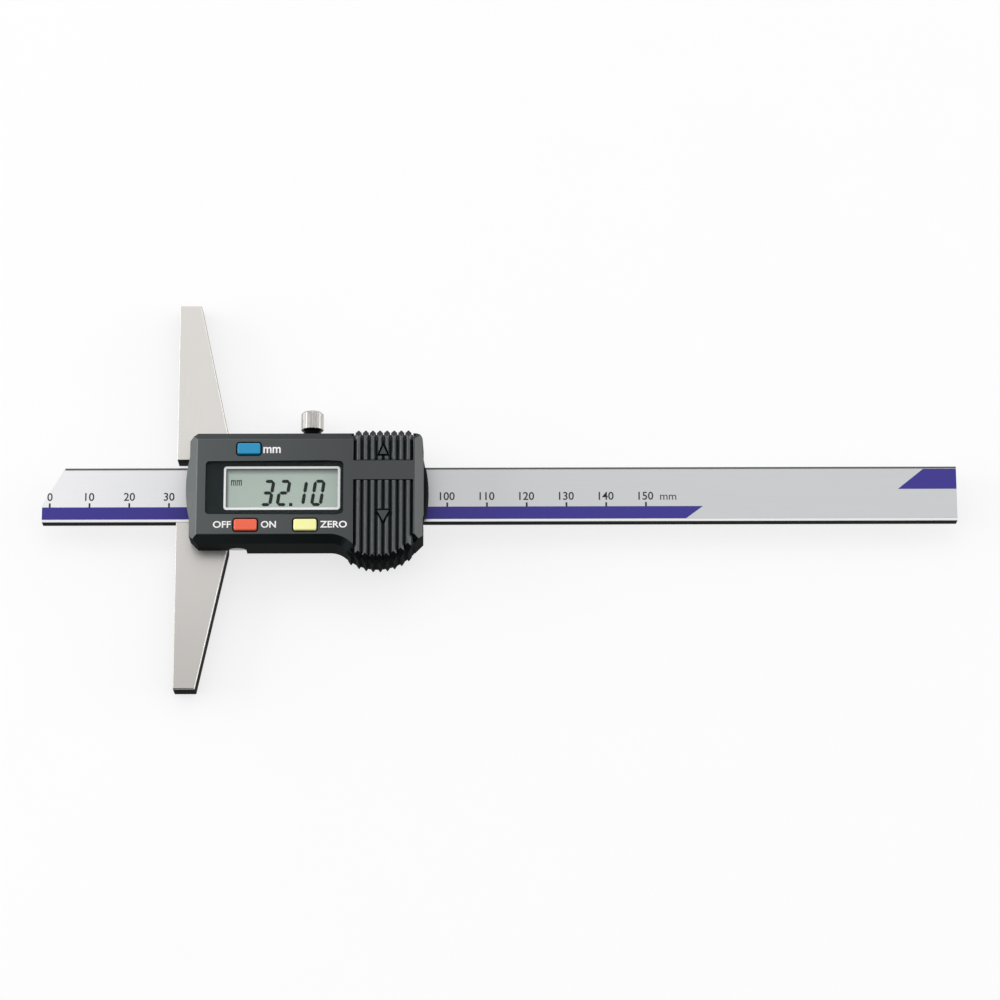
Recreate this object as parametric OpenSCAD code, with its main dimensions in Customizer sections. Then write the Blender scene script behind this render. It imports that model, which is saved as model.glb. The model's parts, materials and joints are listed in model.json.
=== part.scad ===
// Digital depth gauge: a graduated beam slides through a 100 mm base, and a sealed
// plastic housing on the slide frame shows how far the beam's tip stands out of the base.
// +X runs along the beam away from the work, +Y points to the lock screw, +Z is the display side.
// The origin is under the middle of the beam, on the plane the gauge lies on.

/* [Beam] */
// Length of the beam
beam_l = 230.2; // [200:0.1:300]
// Width of the beam
beam_w = 14.1; // [12:0.1:16]
// Thickness of the beam
beam_t = 3.5; // [3:0.1:4.5]
// How far the tip stands out of the measuring face
tip_out = 33.8; // [2:0.1:60]
// Deepest reading, where the stop screw meets the slide frame
depth_max = 150; // [100:1:160]
// Width of the flat land at the tip
tip_land = 4.45; // [3:0.05:8]
// Length of the slanted corner behind the tip
tip_slant = 5.6; // [3:0.1:10]
// Width of the steel rail beside the strip recess
rail_w = 0.65; // [0.4:0.05:1.5]
// Thickness of the measuring circuit strip
strip_t = 0.6; // [0.4:0.05:0.8]
// Thickness of the printed scale
label_t = 0.2; // [0.1:0.05:0.3]

/* [Base] */
// Length of the base across the beam
base_l = 100; // [80:1:160]
// Thickness of the base
base_t = 6; // [5:0.1:7]
// Width of the base at its ends
base_end_w = 5.45; // [4:0.05:8]
// Width of the base at its middle
base_mid_w = 13.1; // [11:0.1:16]
// Bevel on the top edges of the base, all but the measuring face's
base_edge = 0.3; // [0.1:0.05:0.5]
// Depth of the relief round the beam at the measuring face
relief_d = 4; // [2:0.1:5]
// Width of the solid land behind the relief
land_w = 2; // [1.5:0.1:3]

/* [Slide frame] */
// Thickness of the frame's back wall
back_t = 2.3; // [1.8:0.1:3]
// Thickness of the frame's two side walls
side_t = 3.25; // [3:0.05:3.4]
// Thickness of the gib strip
gib_t = 2; // [1.5:0.1:2.5]
// Sliding clearance round the beam
slide_gap = 0.05; // [0.02:0.01:0.1]

/* [Housing] */
// Distance from the measuring face to the housing's front end
body_start = 3.8; // [3:0.1:4.5]
// Length of the housing without its end swells
body_l = 58.3; // [56:0.1:62]
// How far the housing reaches past the slide frame's wall on the lock screw side
body_far = 1.6; // [1.1:0.1:2.6]
// How far the housing reaches past the slide frame's wall on the button side
body_near = 4.15; // [3.65:0.1:5.15]
// Height of the display face above the beam
body_top = 9.15; // [8.65:0.1:11.15]
// Size of the bevel round the display face
bevel = 2; // [1:0.1:2.2]
// Corner cut of the housing in plan
corner = 2; // [1:0.1:3]
// Wall of the housing
wall = 1.5; // [1.2:0.1:1.6]
// Height of the housing's rim above the back
rim_z = 2.9; // [2.6:0.1:3.4]
// How far the ends swell outwards round the beam
swell = 1; // [0.5:0.1:1.5]
// How far the end swells reach past the beam's edges
swell_w = 0.95; // [0.75:0.1:2.95]
// Radius of the grip bulge
bulge_r = 12.3; // [12:0.1:13]
// Radius of the hollow that leads the near wall into the bulge
hollow_r = 6; // [3:0.5:8]

/* [Display] */
// Length of the window
window_l = 34.4; // [34:0.1:35]
// Width of the window
window_w = 13.7; // [13.4:0.1:14]
// Thickness of the window
window_t = 1.25; // [0.8:0.05:1.4]
// Length of the opening under the window
view_l = 29.1; // [26:0.1:29.4]
// Width of the opening under the window
view_w = 10.9; // [9:0.1:11.2]
// Thickness of the display glass
glass_t = 2.2; // [1.6:0.1:2.4]

/* [Buttons] */
// Length of a button
button_l = 5.7; // [4:0.1:6]
// Width of a button
button_w = 2.9; // [2.2:0.1:3]
// How far a button stands proud of the face
button_proud = 0.5; // [0.3:0.05:0.8]
// Travel of a button
button_travel = 0.35; // [0.2:0.05:0.5]
// Clearance round a button
button_gap = 0.1; // [0.05:0.01:0.2]
// Width of the sunk rim round a button
well_w = 0.3; // [0.1:0.05:0.4]
// Depth of that rim
well_t = 0.3; // [0.1:0.05:0.6]

/* [Covers] */
// Length of both sliding covers along the beam
cover_l = 14.7; // [14.5:0.1:15]
// Clearance round the covers
cover_gap = 0.1; // [0.05:0.01:0.2]
// Spacing of the grip ribs
rib_pitch = 1.78; // [1.6:0.01:1.8]
// Width of a grip rib at its foot
rib_w = 1.5; // [1:0.05:1.6]
// Height of a grip rib on the display face
rib_h = 0.65; // [0.4:0.05:1]
// Height of a grip rib on the side walls
tooth_h = 0.95; // [0.4:0.05:1.2]

/* [Battery] */
// Diameter of the button cell
cell_d = 11.6; // [11:0.1:11.8]
// Thickness of the button cell
cell_t = 5.4; // [3.6:0.1:5.4]

/* [Lock screw] */
// Diameter of the lock screw's knob
knob_d = 5.7; // [4.5:0.1:6]
// Length of the lock screw's knob
knob_l = 4.6; // [3:0.1:7]
// Diameter of the lock screw's thread
lock_d = 3; // [2.5:0.1:3]

/* [Hidden] */
$fn = 64;

// Surplus length of a cutting tool beyond the face it cuts
over = 1;
// Radial gap of a screw in its thread, where the two would mesh
thread_gap = 0.03;
// Gap of a screw in a clearance hole
hole_gap = 0.1;
// Gap that keeps fixed neighbours apart where they don't clamp each other
seat_gap = 0.05;

// Places along the beam, from the origin
tip_x = -beam_l / 2;
face_x = tip_x + tip_out;

// Heights of the beam and of what lies in its recess
beam_z = back_t + slide_gap;
beam_top = beam_z + beam_t;
beam_mid = beam_z + beam_t / 2;
strip_z = beam_top - strip_t - label_t;
strip_w = beam_w - 2 * rail_w;

// Walls of the channel that guides the beam
near_wall = -beam_w / 2 - slide_gap;
gib_y = beam_w / 2 + slide_gap;
far_wall = gib_y + gib_t + slide_gap;
side_z = beam_top + 0.35;
far_mid = far_wall + side_t / 2;
near_mid = near_wall - side_t / 2;
frame_gap = 0.1;

// Outer faces of the housing, from the beam's centreline and from the back
far_face = far_wall + side_t + body_far;
near_face = side_t - near_wall + body_near;
face_top = beam_top + body_top;
swell_y = beam_w / 2 + swell_w;

// Inner faces of the housing's long walls
near_in = near_face - wall;
far_in = far_face - wall;

// The gib runs nearly the whole channel
slide_end = body_start + body_l - wall - 0.2;
gib_start = 14;
gib_h = beam_t - 0.3;
gib_screw_x = [20, 50];
gib_screw_d = 2;
dimple_d = 0.4;

// Slots and steps of the base
flat_short = 0.3;
base_flat = near_face - flat_short;
pocket_x = relief_d + land_w;
pocket_y = far_face - wall + frame_gap;

// Plan of the base: straight middle, tapered arms, and the measuring face that closes it
base_plan = [
    [0, -base_l / 2],
    [base_end_w, -base_l / 2],
    [base_mid_w, -base_flat],
    [base_mid_w, base_flat],
    [base_end_w, base_l / 2],
    [0, base_l / 2]
];

// Screws that clamp the ears of the frame on the base
base_screw_d = 2.5;
base_screw_x = (pocket_x + base_mid_w) / 2;
base_screw_y = [near_mid, far_mid];
base_screw_l = 5.2;
base_head_d = 4.5;
base_head_t = 1.2;

// Screws that clamp frame, circuit board and housing
body_screw_d = 1.6;
body_head_d = 2.8;
body_head_t = 0.8;
body_screw_sink = 0.2;
boss_d = 3.4;
body_screws = [[24.5, near_mid], [41.5, near_mid], [24.5, far_mid], [57.5, far_mid]];

// The circuit board lies on the frame's side walls
board_t = 1;
board_z = side_z;
board_top = board_z + board_t;
board_start = 6.5;
board_end = body_start + body_l - wall - 0.4;
board_near = near_in - 0.6;
board_far = far_in - 0.3;
board_screw_d = 1.6;
board_head_d = 2.8;
board_head_t = 0.8;
board_screw_l = 4;
board_screws = [[28.9, near_mid], [41, far_mid]];
chip_at = [27, -0.5];
chip_d = 8;
chip_t = 1;

// Battery between the board and its cover
cell_gap = 0.2;
spring_lift = 0.55;
cell_z = board_top + spring_lift;

// Housing levels
body_end = body_start + body_l;
face_t = 1.6;
face_drop = 0.55;
cover_t = 1.05;
ceiling = face_top - face_t;
cover_top = face_top - face_drop;
cover_z = cover_top - cover_t;
floor_top = cover_z - cover_gap / 2;
floor_t = 1.45;
floor_z = floor_top - floor_t;
arch_x = 15.6;
arch_r = 2.2;
rim_gap = 0.1;
base_rim = base_t + rim_gap;
arch_z = base_rim + rim_gap;
beam_rim = beam_top + 0.25;
sill_z = board_top;

// Grip bulge and its slanted shoulder
bulge_in = 8;
bulge_at = [50.6, bulge_in - near_face];
shoulder_a = -53.6;
bulge_floor = rim_z + 1.2;

// Display stack
window_at = [7.9, -7.4];
window_r = 1;
window_sink = 0.1;
window_z = face_top - window_sink - window_t;
view_at = [12.6, -6];
glass_lap = 1;
glass_z = ceiling - seat_gap - glass_t;
strip_contact_w = 1.6;

// Buttons: left end, middle line, and their switches
button_rows = [[15.8, 9.45], [15.15, -10.2], [30, -10.2]];
button_r = 0.5;
flange = 0.6;
flange_t = 0.9;
stem_d = 2.4;
switch_w = 4;
switch_t = 1;
plunger_d = 2;
plunger_t = 0.4;
stem_z = board_top + switch_t + plunger_t + button_travel + seat_gap;

// Covers and their rails
cover_x = 44.9;
cover_far_y = 6.6;
cover_near_y = 1.3;
cover_mid = cover_x + cover_l / 2;
rail = 0.6;
rail_t = 0.5;
skirt_t = 1.2;
skirt_in = 0.15;
port_side = far_face - 0.25;
port_skirt_z = 8.5;
rib_count = 8;
rib_top_w = 0.2;
rib_root = 0.6;
mark_groove = 0.45;
rib_first = cover_mid - rib_pitch * (rib_count - 1) / 2;
side_rib_x = cover_x - cover_gap - rib_w / 2 - seat_gap;

// Data contacts under the port cover
pin_count = 4;
pin_pitch = 1.6;
pin_w = 0.8;
pin_t = 0.5;
pin_y = 10.2;
pin_x = 48.9;
port_gap = 0.8;

// Battery, its ring and contacts
cell_shift = [1.8, -2.1];
cell_at = bulge_at + cell_shift;
ring_t = 1;
contact_t = 0.3;
clip_w = 4;
clip_foot = 2;
clip_gap = 0.15;
spring_l = 7;
spring_w = 3;

// Lock screw
lock_x = 33.9;
lock_neck = 3.35;
knob_start = far_face + lock_neck;
lock_relief = 0.5;
flute_count = 20;
flute_d = 0.45;
knob_crown = 0.5;

// Stop screw on the back of the beam
stop_d = 2;
stop_head_d = 3;
stop_head_t = 0.9;
stop_clear = 0.1;
stop_x = slide_end + stop_head_d / 2 + depth_max + stop_clear;

// Colours
steel = [0.78, 0.77, 0.75];
silver = [0.82, 0.83, 0.84];
casing = [0.30, 0.31, 0.33];

// Moves a piece from the measuring face's frame to the gauge's own
module at_face() {
    translate([face_x, 0, 0])
        children();
}

// Rectangle with round corners, its lower left corner at the origin
module round_rect(size, r) {
    translate([r, 0])
        square([size.x - 2 * r, size.y]);
    translate([0, r])
        square([size.x, size.y - 2 * r]);
    for (x = [r, size.x - r], y = [r, size.y - r])
        translate([x, y])
            circle(r);
}

// Box between two opposite corners
module span(low, high) {
    translate(low)
        cube(high - low);
}

// Turns an outline drawn in Y and Z into a bar along X
module bar_x(x0, x1) {
    translate([x0, 0, 0])
        rotate([90, 0, 90])
            linear_extrude(x1 - x0)
                children();
}

// Turns an outline drawn in X and Z into a bar along Y
module bar_y(y0, y1) {
    translate([0, y1, 0])
        rotate([90, 0, 0])
            linear_extrude(y1 - y0)
                children();
}

// Countersunk screw driven upwards, its head's outer face at z = 0, with a cross slot
module sunk_screw(d, head_d, head_t, length) {
    slot_w = d * 0.25;
    difference() {
        union() {
            cylinder(h = head_t, d1 = head_d, d2 = d);
            cylinder(h = length, d = d);
        }
        for (a = [0, 90])
            rotate([0, 0, a])
                span([-head_d * 0.3, -slot_w / 2, -over], [head_d * 0.3, slot_w / 2, head_t * 0.4]);
    }
}

// Hole for that screw, from the same face
module sunk_hole(d, head_d, head_t, length, gap) {
    translate([0, 0, -over])
        cylinder(h = length + over, d = d + 2 * gap);
    cylinder(h = head_t, d1 = head_d + 2 * gap, d2 = d + 2 * gap);
    translate([0, 0, -over])
        cylinder(h = over + 0.01, d = head_d + 2 * gap);
}

// Outline of the beam from its tip, narrowed by an inset on both long edges
module beam_outline(inset) {
    half = beam_w / 2;
    slope = tip_slant / (beam_w - tip_land);
    far = half - inset;
    polygon([
        [0, -half + inset],
        [0, -half + tip_land],
        [tip_slant - inset * slope, far],
        [beam_l, far],
        [beam_l, -half + inset]
    ]);
}

module beam() {
    color(steel)
        translate([tip_x, 0, 0])
            difference() {
                translate([0, 0, beam_z])
                    linear_extrude(beam_t)
                        beam_outline(0);
                span([-over, -strip_w / 2, strip_z], [beam_l + over, strip_w / 2, beam_top + over]);
                translate([stop_x, 0, beam_z - over])
                    cylinder(h = strip_z - beam_z + over, d = stop_d + 2 * thread_gap);
            }
}

module scale_circuit() {
    color([0.2, 0.45, 0.3])
        translate([tip_x, 0, strip_z])
            linear_extrude(strip_t)
                beam_outline(rail_w);
}

module scale_label() {
    color(silver)
        translate([tip_x, 0, strip_z + strip_t])
            linear_extrude(label_t)
                beam_outline(rail_w);
}

// Low-headed screw whose head meets the slide frame at the deepest reading
module stop_screw() {
    color(steel)
        translate([tip_x + stop_x, 0, beam_z])
            difference() {
                union() {
                    translate([0, 0, -stop_head_t])
                        cylinder(h = stop_head_t, d = stop_head_d);
                    cylinder(h = strip_z - beam_z - seat_gap, d = stop_d);
                }
                span([-stop_head_d, -0.25, -stop_head_t - over], [stop_head_d, 0.25, -stop_head_t * 0.6]);
            }
}

// Bevels a top edge of the base from one corner of its plan to the next, counter-clockwise
module base_bevel(first, second) {
    run = second - first;
    translate([first.x, first.y, base_t])
        rotate([0, 0, atan2(run.y, run.x)])
            bar_x(-over, norm(run) + over)
                polygon([[-over, -base_edge - over], [base_edge + over, over], [-over, over]]);
}

module base() {
    color(steel)
        at_face()
            difference() {
                linear_extrude(base_t)
                    polygon(base_plan);
                for (i = [1 : len(base_plan) - 1])
                    base_bevel(base_plan[i - 1], base_plan[i]);
                // relief round the beam, right through at the measuring face
                span([-over, near_wall, -over], [relief_d, far_wall, base_t + over]);
                // channel for the beam over the land
                span([0, near_wall, back_t], [pocket_x + over, far_wall, base_t + over]);
                // pocket for the ears of the frame
                span([pocket_x, -pocket_y, back_t], [base_mid_w + over, pocket_y, base_t + over]);
                for (y = base_screw_y)
                    translate([base_screw_x, y, 0])
                        sunk_hole(base_screw_d, base_head_d, base_head_t, back_t + over, hole_gap);
            }
}

module base_screws() {
    color("silver")
        at_face()
            for (y = base_screw_y)
                translate([base_screw_x, y, 0])
                    sunk_screw(base_screw_d, base_head_d, base_head_t, base_screw_l);
}

module slide_frame() {
    ear_x = pocket_x + seat_gap;
    plate_x = base_mid_w + seat_gap;
    plate_near = near_in - frame_gap;
    plate_far = far_in - frame_gap;
    color([0.7, 0.7, 0.7])
        at_face()
            difference() {
                union() {
                    translate([plate_x, -plate_near, 0])
                        linear_extrude(back_t)
                            round_rect([slide_end - plate_x, plate_near + plate_far], corner);
                    span([ear_x, near_wall - side_t, back_t], [slide_end, near_wall, side_z]);
                    span([ear_x, far_wall, back_t], [slide_end, far_wall + side_t, side_z]);
                    // square front corners where the plate butts on the base
                    span([plate_x, -plate_near, 0], [plate_x + corner, plate_far, back_t]);
                }
                for (y = base_screw_y)
                    translate([base_screw_x, y, -over])
                        cylinder(h = base_screw_l + over + seat_gap, d = base_screw_d + 2 * thread_gap);
                for (p = body_screws)
                    translate([p.x, p.y, body_screw_sink])
                        sunk_hole(body_screw_d, body_head_d, body_head_t, side_z + over, hole_gap);
                for (p = board_screws)
                    translate([p.x, p.y, board_top - board_screw_l - seat_gap])
                        cylinder(h = board_screw_l, d = board_screw_d + 2 * thread_gap);
                for (x = gib_screw_x)
                    translate([x, far_wall - over, beam_mid])
                        rotate([-90, 0, 0])
                            cylinder(h = side_t + 2 * over, d = gib_screw_d + 2 * thread_gap);
                translate([lock_x, far_wall - over, beam_mid])
                    rotate([-90, 0, 0])
                        cylinder(h = side_t + 2 * over, d = lock_d + 2 * slide_gap);
            }
}

module gib() {
    gib_z = beam_z + (beam_t - gib_h) / 2;
    color([0.75, 0.6, 0.3])
        at_face()
            difference() {
                span([gib_start, gib_y, gib_z], [slide_end - seat_gap, gib_y + gib_t, gib_z + gib_h]);
                for (x = gib_screw_x)
                    translate([x, gib_y + gib_t - dimple_d, beam_mid])
                        rotate([-90, 0, 0])
                            cylinder(h = over, d = gib_screw_d + 2 * seat_gap);
            }
}

// Slotted set screws that press the gib on the beam
module gib_screws() {
    tip_y = gib_y + gib_t - dimple_d;
    length = far_wall + side_t - tip_y;
    color([0.35, 0.35, 0.36])
        at_face()
            for (x = gib_screw_x)
                translate([x, tip_y, beam_mid])
                    rotate([-90, 0, 0])
                        difference() {
                            cylinder(h = length, d = gib_screw_d);
                            span([-gib_screw_d, -0.2, length - 0.6], [gib_screw_d, 0.2, length + over]);
                        }
}

// Knurled screw that clamps the beam through the gib
module lock_screw() {
    tip_y = gib_y + gib_t + slide_gap / 2;
    shank_l = knob_start - tip_y;
    knob_r = knob_d / 2;
    color("silver")
        at_face()
            translate([lock_x, tip_y, beam_mid])
                rotate([-90, 0, 0])
                    difference() {
                        rotate_extrude()
                            polygon([
                                [0, 0],
                                [lock_d / 2 - 0.4, 0],
                                [lock_d / 2, 0.4],
                                [lock_d / 2, shank_l - lock_neck + lock_relief],
                                [knob_r * 0.8, shank_l - knob_crown],
                                [knob_r, shank_l],
                                [knob_r, shank_l + knob_l - knob_crown],
                                [knob_r - knob_crown, shank_l + knob_l],
                                [0, shank_l + knob_l]
                            ]);
                        for (i = [0 : flute_count - 1])
                            rotate([0, 0, i * 360 / flute_count])
                                translate([knob_r + flute_d * 0.15, 0, shank_l - knob_crown])
                                    cylinder(h = knob_l + over, d = flute_d, $fn = 16);
                    }
}

// Plan of the housing without the grip bulge
module body_outline() {
    polygon([
        [body_start, -near_face + corner],
        [body_start + corner, -near_face],
        [body_end - corner, -near_face],
        [body_end, -near_face + corner],
        [body_end, far_face - corner],
        [body_end - corner, far_face],
        [body_start + corner, far_face],
        [body_start, far_face - corner]
    ]);
    translate([body_end - corner, far_face - corner])
        circle(corner);
    end_swell(body_start, -1);
    end_swell(body_end, 1);
}

// Shallow arc by which one end swells round the beam. side is 1 at the back end.
module end_swell(x, side) {
    swell_r = (swell_y * swell_y + swell * swell) / (2 * swell);
    intersection() {
        translate([x + side * (swell - swell_r), 0])
            circle(swell_r);
        translate([x - swell - over, -swell_y])
            square([2 * (swell + over), 2 * swell_y]);
    }
}

// Side view that bevels the long edges of the display face
module side_profile() {
    polygon([
        [-near_face, rim_z],
        [far_face, rim_z],
        [far_face, face_top - bevel],
        [far_face - bevel, face_top],
        [-near_face + bevel, face_top],
        [-near_face, face_top - bevel]
    ]);
}

// Front view that bevels both ends, swells included
module end_profile() {
    shoulder = face_top - bevel - swell;
    polygon([
        [body_start - swell, rim_z],
        [body_end + swell, rim_z],
        [body_end + swell, shoulder],
        [body_end - bevel, face_top],
        [body_start + bevel, face_top],
        [body_start - swell, shoulder]
    ]);
}

// Bulge under the battery, with the bevel of the face carried round it
module bulge_solid(r, z0) {
    translate([bulge_at.x, bulge_at.y, z0])
        cylinder(h = face_top - bevel - z0, r = r);
    translate([bulge_at.x, bulge_at.y, face_top - bevel])
        cylinder(h = bevel, r1 = r, r2 = r - bevel);
}

// Slanted shoulder between the bulge and the housing's back end
module shoulder_solid() {
    start = bulge_at + bulge_r * [cos(shoulder_a), sin(shoulder_a)];
    finish = [body_end, -near_face + corner];
    run = finish - start;
    turn = atan2(run.y, run.x);
    length = norm(run);
    depth = 8;
    intersection() {
        translate([0, 0, rim_z])
            linear_extrude(face_top - rim_z)
                polygon([start, finish, [body_end, 0], bulge_at]);
        translate([start.x, start.y, 0])
            rotate([0, 0, turn])
                bar_x(-length, 2 * length)
                    polygon([
                        [0, rim_z],
                        [0, face_top - bevel],
                        [bevel, face_top],
                        [2 * depth, face_top],
                        [2 * depth, rim_z]
                    ]);
        bar_y(-2 * near_face, far_face)
            end_profile();
    }
}

// One grip rib seen along its length, standing on the line v = 0
module rib_section(height) {
    polygon([
        [-rib_w / 2, -rib_root],
        [-rib_w / 2, 0],
        [-rib_top_w / 2, height],
        [rib_top_w / 2, height],
        [rib_w / 2, 0],
        [rib_w / 2, -rib_root]
    ]);
}

// Rib that runs over the face and down one side. side is 1 for the far side and -1 for
// the near side. from_y is its end on the face, side_y the wall it runs down, and foot_z
// the end of that run.
module grip_rib(x, from_y, side_y, foot_z, side) {
    crest_y = side_y + side * tooth_h;
    crest_z = cover_top + rib_h;
    run = abs(crest_y - from_y);
    intersection() {
        union() {
            translate([x, 0, cover_top])
                bar_y(min(from_y, crest_y), max(from_y, crest_y))
                    rib_section(rib_h);
            translate([x, side_y, foot_z])
                linear_extrude(crest_z - foot_z)
                    mirror([0, side < 0 ? 1 : 0])
                        rib_section(tooth_h);
        }
        translate([0, from_y, 0])
            mirror([0, side < 0 ? 1 : 0, 0])
                bar_x(x - rib_w, x + rib_w)
                    polygon([
                        [0, foot_z],
                        [run, foot_z],
                        [run, crest_z - bevel],
                        [run - bevel, crest_z],
                        [0, crest_z]
                    ]);
    }
}

// Y of the grip bulge's wall at a place along the beam
function bulge_y(x) = bulge_at.y - sqrt(bulge_r * bulge_r - (x - bulge_at.x) * (x - bulge_at.x));

// Triangular bar standing on the middle of its base line, grown by a margin all round
module triangle_bar(width, height, margin, tall) {
    half = width / 2;
    side = norm([half, height]);
    foot = half + margin * (side + half) / height;
    linear_extrude(tall)
        polygon([[-foot, -margin], [foot, -margin], [0, height + margin * side / half]]);
}

// Triangle between the ribs, behind a groove, that points the way a cover slides. The
// children are the ribs, and place is the middle of its base line. dir is 1 towards +Y.
module slide_mark(place, size, dir) {
    difference() {
        children();
        translate([place.x, place.y, cover_top])
            mirror([0, dir < 0 ? 1 : 0, 0])
                triangle_bar(size.x, size.y, mark_groove, rib_h + over);
    }
    translate([place.x, place.y, cover_top - rib_root])
        mirror([0, dir < 0 ? 1 : 0, 0])
            triangle_bar(size.x, size.y, 0, rib_root + rib_h);
}

// Space that a cover and its rails sweep through the face of the housing
module cover_slot(y0, y1) {
    x0 = cover_x - cover_gap;
    x1 = cover_x + cover_l + cover_gap;
    span([x0, y0, floor_top], [x1, y1, face_top + over]);
    span([x0 - rail, y0, floor_top], [x1 + rail, y1, cover_z + rail_t + cover_gap / 2]);
}

// Outer form of the housing, solid
module housing_block() {
    intersection() {
        translate([0, 0, rim_z])
            linear_extrude(face_top - rim_z)
                body_outline();
        bar_x(body_start - swell, body_end + swell)
            side_profile();
        bar_y(-near_face, far_face)
            end_profile();
    }
    intersection() {
        bulge_solid(bulge_r, rim_z);
        span([body_start, -2 * near_face, rim_z], [body_end, far_face, face_top]);
        bar_y(-2 * near_face, far_face)
            end_profile();
    }
    bulge_hollow();
    shoulder_solid();
    side_rib();
}

// Hollow that leads the near wall into the bulge, with the bevel of the face carried along
module bulge_hollow() {
    reach = bulge_r + hollow_r;
    rise = bulge_in + hollow_r;
    centre = [bulge_at.x - sqrt(reach * reach - rise * rise), bulge_at.y - rise];
    difference() {
        translate([0, 0, rim_z])
            linear_extrude(face_top - rim_z)
                polygon([centre, bulge_at, [centre.x, bulge_at.y]]);
        translate([centre.x, centre.y, rim_z - over])
            cylinder(h = face_top - rim_z, r = hollow_r);
        translate([centre.x, centre.y, face_top - bevel])
            cylinder(h = bevel + over, r1 = hollow_r, r2 = hollow_r + bevel + over);
    }
}

// Lone rib on the wall of the bulge, beside the battery cover
module side_rib() {
    translate([side_rib_x, bulge_y(side_rib_x), bulge_floor])
        linear_extrude(face_top - bevel - bulge_floor)
            mirror([0, 1, 0])
                rib_section(tooth_h);
}

// Space inside the housing, above the floor and the sill of the bulge
module housing_space() {
    inner_r = bulge_r - skirt_t - skirt_in - wall / 2;
    // display and buttons
    span([body_start + wall, -near_in, rim_z - over], [cover_x - 2 * rail, far_in, ceiling]);
    // lower space under the two covers
    span([body_start + wall, -near_in, rim_z - over], [body_end - wall, far_in, floor_z]);
    difference() {
        translate([bulge_at.x, bulge_at.y, bulge_floor])
            cylinder(h = floor_z - bulge_floor, r = inner_r);
        span([0, -near_face, 0], [body_end, 0, sill_z]);
        span([body_end - wall, -near_face, 0], [body_end + over, 0, face_top]);
    }
}

// Bosses for the screws that hold the frame and the board, and the battery's ring
module housing_posts() {
    for (p = body_screws)
        translate([p.x, p.y, board_top])
            cylinder(h = (p.x < cover_x ? ceiling : floor_z) + seat_gap - board_top, d = boss_d);
    translate([cell_at.x, cell_at.y, board_top + seat_gap])
        cylinder(h = floor_z - board_top, d = cell_d + 2 * cell_gap + 2 * ring_t);
}

// Screw holes, battery space and the slot of the battery's side contact
module housing_holes() {
    screw_top = floor_z + 0.7;
    slot_gap = 0.3;
    slot_low = [cell_at.x - cell_d / 2 - clip_foot - 0.8, cell_at.y - clip_w / 2 - slot_gap];
    for (p = body_screws)
        translate([p.x, p.y, board_top - over])
            cylinder(h = screw_top - board_top + over, d = body_screw_d + 2 * thread_gap);
    translate([cell_at.x, cell_at.y, board_top - over])
        cylinder(h = face_top, d = cell_d + 2 * cell_gap);
    span([slot_low.x, slot_low.y, board_top - over],
        [cell_at.x, slot_low.y + clip_w + 2 * slot_gap, floor_z]);
}

// Window recess, the opening under it, the button holes and the opening over the contacts
module face_openings() {
    view_end = view_at + [view_l, view_w];
    button_cut = [button_l + 2 * button_gap, button_w + 2 * button_gap];
    pins_end = pin_x + (pin_count - 1) * pin_pitch;
    pins_half = pin_t / 2 + port_gap;
    translate([window_at.x, window_at.y, window_z])
        linear_extrude(face_top)
            round_rect([window_l, window_w], window_r);
    span([view_at.x, view_at.y, ceiling - over], [view_end.x, view_end.y, face_top]);
    for (b = button_rows)
        translate([b.x - button_gap, b.y - button_cut.y / 2, ceiling - over])
            linear_extrude(face_top)
                round_rect(button_cut, button_r + button_gap);
    for (b = button_rows)
        translate([b.x - button_gap - well_w, b.y - button_cut.y / 2 - well_w, face_top - well_t])
            linear_extrude(face_top)
                round_rect(button_cut + 2 * [well_w, well_w], button_r + button_gap + well_w);
    span([pin_x - port_gap, pin_y - pins_half, floor_z - over],
        [pins_end + port_gap, pin_y + pins_half, face_top]);
}

// What the two sliding covers take out of the housing
module cover_cuts() {
    x0 = cover_x - cover_gap;
    x1 = cover_x + cover_l + cover_gap;
    cover_slot(cover_far_y - cover_gap, far_face + over);
    span([x0, port_side - skirt_t - skirt_in, port_skirt_z - cover_gap], [x1, far_face + over, face_top]);
    cover_slot(-2 * near_face, cover_near_y + cover_gap);
    difference() {
        span([x0, -2 * near_face, bulge_floor], [x1, -near_in, face_top]);
        translate([bulge_at.x, bulge_at.y, 0])
            cylinder(h = face_top, r = bulge_r - skirt_t - skirt_in);
    }
}

// Ends open for the beam, the front end raised over the base, and the arched relief beside it
module rim_cuts() {
    base_end = base_mid_w + 0.3;
    span([0, -swell_y, 0], [body_end + 2 * swell, swell_y - 0.3, beam_rim]);
    span([0, -2 * near_face, 0], [base_end, 2 * far_face, base_rim]);
    translate([arch_x, 0, arch_z])
        rotate([90, 0, 0])
            cylinder(h = 2 * near_face, r = arch_r);
    span([base_mid_w, -2 * near_face, 0], [arch_x + arch_r, -near_in, arch_z]);
}

// Notches in the far wall for the lock screw and the gib screws, as [x, radius]
module side_notches() {
    gib_notch_r = 1.3;
    notches = [[lock_x, lock_d / 2 + lock_relief], for (x = gib_screw_x) [x, gib_notch_r]];
    for (n = notches) {
        translate([n[0], far_in - over, beam_mid])
            rotate([-90, 0, 0])
                cylinder(h = wall + 2 * over, r = n[1]);
        span([n[0] - n[1], far_in - over, 0], [n[0] + n[1], far_face + over, beam_mid]);
    }
}

module housing() {
    color(casing)
        at_face()
            difference() {
                union() {
                    difference() {
                        housing_block();
                        housing_space();
                    }
                    housing_posts();
                }
                housing_holes();
                face_openings();
                cover_cuts();
                rim_cuts();
                side_notches();
            }
}

module housing_screws() {
    length = floor_z - body_screw_sink;
    color([0.3, 0.3, 0.31])
        at_face()
            for (p = body_screws)
                translate([p.x, p.y, body_screw_sink])
                    sunk_screw(body_screw_d, body_head_d, body_head_t, length);
}

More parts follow.
